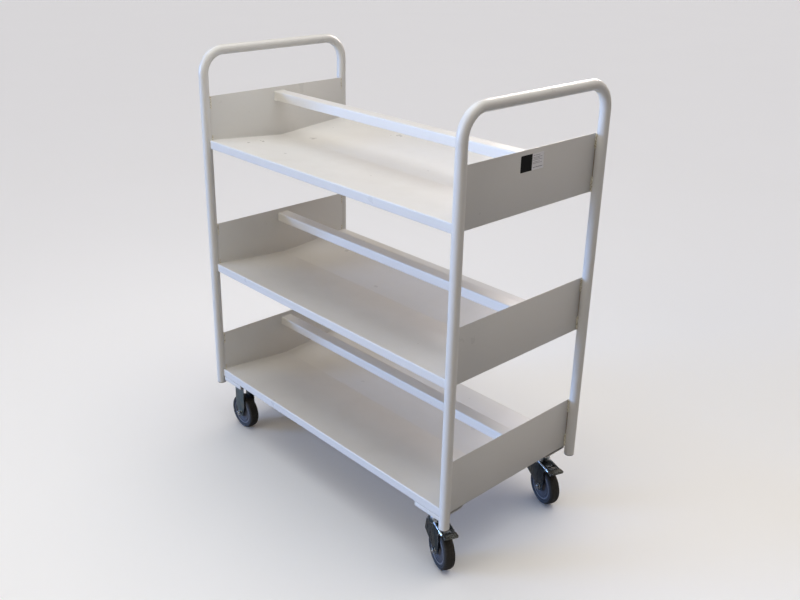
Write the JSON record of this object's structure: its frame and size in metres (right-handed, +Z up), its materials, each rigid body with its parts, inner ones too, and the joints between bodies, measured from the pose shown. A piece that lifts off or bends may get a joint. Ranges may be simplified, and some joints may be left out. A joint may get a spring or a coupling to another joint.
{
  "type": "book cart",
  "caption": "Double-sided book cart: bent-tube end hoops, V-floored trays with centre rails, rigid castors at one end and braked swivel castors at the other.",
  "frame": {"origin": "floor centre between the hoops, under the middle of the trays", "axes": "+X along the trays towards the swivel castors, +Y from the front to the back, +Z up from the floor"},
  "size_m": [0.941, 0.485, 1.1],
  "materials": {
    "powder_coat": "satin off-white powder coat on steel",
    "zinc_steel": "blue zinc plated steel",
    "pedal_steel": "dark grey-green painted pressed steel",
    "bearing_steel": "polished ball steel",
    "tyre": "dark grey rubber",
    "hub_plastic": "moulded dark grey plastic",
    "plug_plastic": "dark warm-grey plastic",
    "label_film": "pale printed film with no lettering"
  },
  "bodies": {
    "frame": {"asset_label": "label_film", "back_left_castor_bracket": "powder_coat", "back_left_fork": "zinc_steel", "back_right_castor_bracket": "powder_coat", "bottom_left_end_plate": "powder_coat", "bottom_rail": "powder_coat", "bottom_right_end_plate": "powder_coat", "bottom_tray": "powder_coat", "castor_mount_nuts": "zinc_steel", "front_left_castor_bracket": "powder_coat", "front_left_fork": "zinc_steel", "front_right_castor_bracket": "powder_coat", "king_bolts": "zinc_steel", "left_hoop": "powder_coat", "leg_end_plugs": "plug_plastic", "middle_left_end_plate": "powder_coat", "middle_rail": "powder_coat", "middle_right_end_plate": "powder_coat", "middle_tray": "powder_coat", "right_hoop": "powder_coat", "rigid_axle_bolts": "zinc_steel", "rigid_axle_nuts": "zinc_steel", "rigid_axle_sleeves": "zinc_steel", "rigid_castor_bolts": "zinc_steel", "swivel_upper_races": "zinc_steel", "top_left_end_plate": "powder_coat", "top_rail": "powder_coat", "top_right_end_plate": "powder_coat", "top_tray": "powder_coat", "weld_beads": "powder_coat"},
    "front_left_wheel": {"front_left_hub": "hub_plastic", "front_left_tyre": "tyre"},
    "back_left_wheel": {"back_left_hub": "hub_plastic", "back_left_tyre": "tyre"},
    "front_right_wheel": {"front_right_hub": "hub_plastic", "front_right_tyre": "tyre"},
    "back_right_wheel": {"back_right_hub": "hub_plastic", "back_right_tyre": "tyre"},
    "front_right_swivel": {"front_right_fork": "zinc_steel", "front_right_bearing_balls": "bearing_steel", "front_right_axle_bolt": "zinc_steel", "front_right_axle_nut": "zinc_steel", "front_right_axle_sleeve": "zinc_steel", "front_right_brake_spring": "zinc_steel"},
    "front_right_brake": {"front_right_brake_pedal": "pedal_steel", "front_right_brake_pin": "zinc_steel"},
    "back_right_swivel": {"back_right_fork": "zinc_steel", "back_right_bearing_balls": "bearing_steel", "back_right_axle_bolt": "zinc_steel", "back_right_axle_nut": "zinc_steel", "back_right_axle_sleeve": "zinc_steel", "back_right_brake_spring": "zinc_steel"},
    "back_right_brake": {"back_right_brake_pedal": "pedal_steel", "back_right_brake_pin": "zinc_steel"}
  },
  "joints": [
    {"name": "front_left_wheel_spin", "type": "hinge", "parent": "frame", "child": "front_left_wheel", "pos_m": [-0.396, -0.19, 0.05], "axis": [0, 1, 0], "continuous": true},
    {"name": "back_left_wheel_spin", "type": "hinge", "parent": "frame", "child": "back_left_wheel", "pos_m": [-0.396, 0.19, 0.05], "axis": [0, 1, 0], "continuous": true},
    {"name": "front_right_castor_swivel", "type": "hinge", "parent": "frame", "child": "front_right_swivel", "pos_m": [0.396, -0.19, 0.13], "axis": [0, 0, 1], "continuous": true},
    {"name": "front_right_wheel_spin", "type": "hinge", "parent": "front_right_swivel", "child": "front_right_wheel", "pos_m": [0.42205, -0.20026, 0.05], "axis": [0.3665, 0.9304, 0], "continuous": true},
    {"name": "front_right_brake_press", "type": "hinge", "parent": "front_right_swivel", "child": "front_right_brake", "pos_m": [0.44206, -0.20814, 0.1102], "axis": [0.3665, 0.9304, 0], "range_deg": [0, 18]},
    {"name": "back_right_castor_swivel", "type": "hinge", "parent": "frame", "child": "back_right_swivel", "pos_m": [0.396, 0.19, 0.13], "axis": [0, 0, 1], "continuous": true},
    {"name": "back_right_wheel_spin", "type": "hinge", "parent": "back_right_swivel", "child": "back_right_wheel", "pos_m": [0.42263, 0.18135, 0.05], "axis": [0.309, 0.9511, 0], "continuous": true},
    {"name": "back_right_brake_press", "type": "hinge", "parent": "back_right_swivel", "child": "back_right_brake", "pos_m": [0.44308, 0.1747, 0.1102], "axis": [0.309, 0.9511, 0], "range_deg": [0, 18]}
  ]
}
